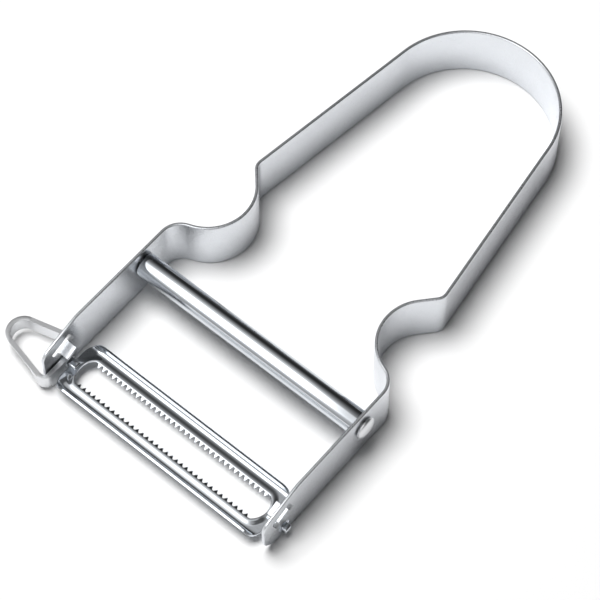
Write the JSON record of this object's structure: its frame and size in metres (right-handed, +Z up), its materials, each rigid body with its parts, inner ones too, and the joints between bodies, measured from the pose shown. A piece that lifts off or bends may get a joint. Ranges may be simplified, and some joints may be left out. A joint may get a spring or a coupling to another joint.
{
  "type": "vegetable peeler",
  "caption": "Strap-handled vegetable peeler: a bent metal strip handle with a swivelling toothed slotted blade between its arms, a round crossbar and a side loop for removing eyes.",
  "frame": {"origin": "on the strip's lower edge, in the middle of the handle's round end", "axes": "+X along the blade, away from the eye remover; -Y from the handle's round end to the blade; +Z up from the strip's lower edge to its upper edge"},
  "size_m": [0.07, 0.1169, 0.013],
  "materials": {
    "satin_strip": "satin",
    "satin_loop": "satin",
    "polished_bar": "polished",
    "rivet": "bright",
    "blade_steel": "polished"
  },
  "bodies": {
    "handle": {"handle_strap": "satin_strip", "crossbar": "polished_bar", "rivet_left": "rivet", "rivet_right": "rivet", "eye_remover": "satin_loop"},
    "swivel_blade": {"blade": "blade_steel"}
  },
  "joints": [
    {"name": "blade_swivel", "type": "hinge", "parent": "handle", "child": "swivel_blade", "pos_m": [0, -0.10933, 0.0025], "axis": [1, 0, 0], "range_deg": [-63, 65]}
  ]
}
